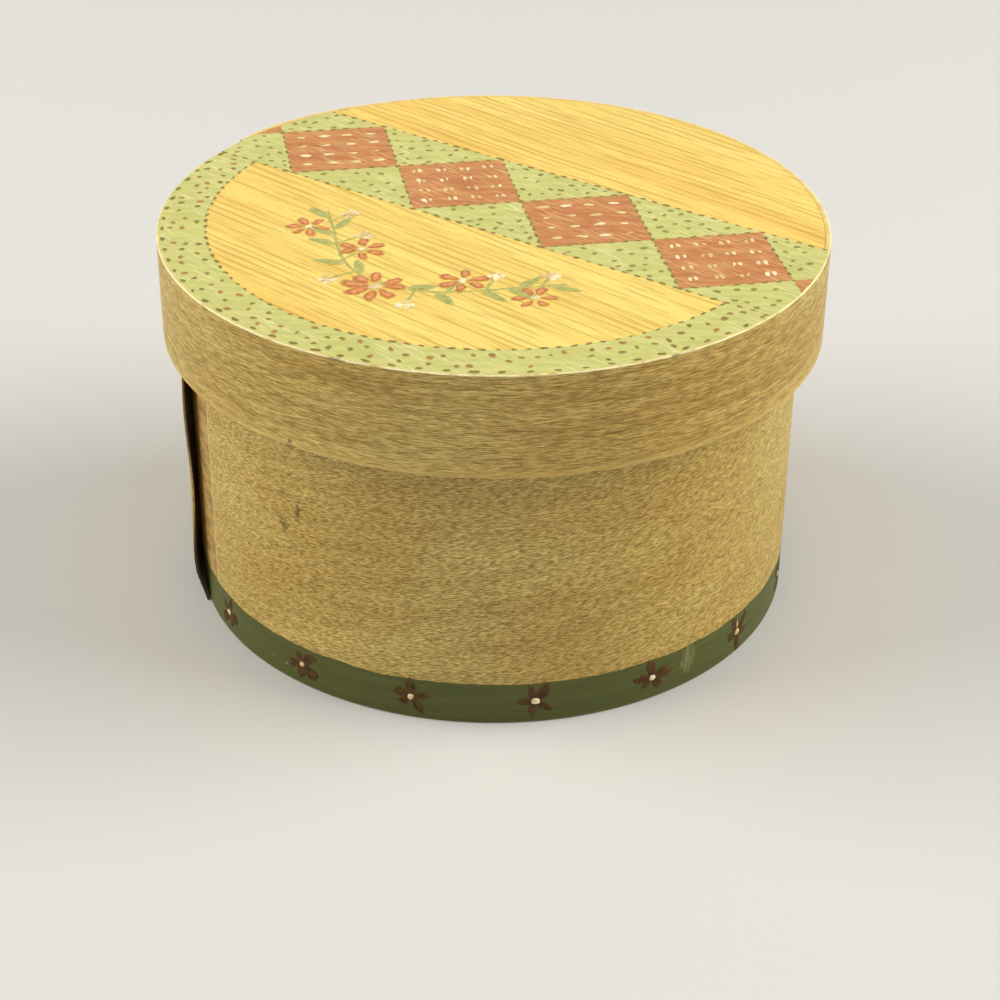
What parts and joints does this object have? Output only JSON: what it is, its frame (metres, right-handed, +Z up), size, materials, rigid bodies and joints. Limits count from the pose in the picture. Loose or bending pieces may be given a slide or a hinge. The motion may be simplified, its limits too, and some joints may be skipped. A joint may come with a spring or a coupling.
{
  "type": "bentwood spice box",
  "caption": "Round bentwood box for dry spices: lapped and tacked veneer bands with flat boards let into them, and a deep painted lid that lifts straight off.",
  "frame": {"origin": "centre of the underside, on the table", "axes": "+Z up along the box's axis; -Y is the side that faces the viewer, and the side band's lap is on -X"},
  "size_m": [0.127, 0.127, 0.075],
  "materials": {
    "stained_veneer": "stained golden brown, satin varnish",
    "golden_board": "golden open-pored wood, satin varnish",
    "bare_board": "bare wood",
    "tack_iron": "dulled iron",
    "green_paint": "brushed sage-green paint",
    "red_paint": "brushed brick-red paint",
    "cream_paint": "thick cream paint",
    "dark_paint": "thin dark paint"
  },
  "bodies": {
    "box": {"side_band": "stained_veneer", "base_board": "bare_board", "side_lap_tacks": "tack_iron", "base_brads": "tack_iron"},
    "lid": {"lid_band": "stained_veneer", "lid_board": "golden_board", "lid_lap_tacks": "tack_iron", "lid_brads": "tack_iron"}
  },
  "joints": [
    {"name": "lid_lift", "type": "slide", "parent": "box", "child": "lid", "axis": [0, 0, 1], "range_m": [0, 0.1]}
  ]
}
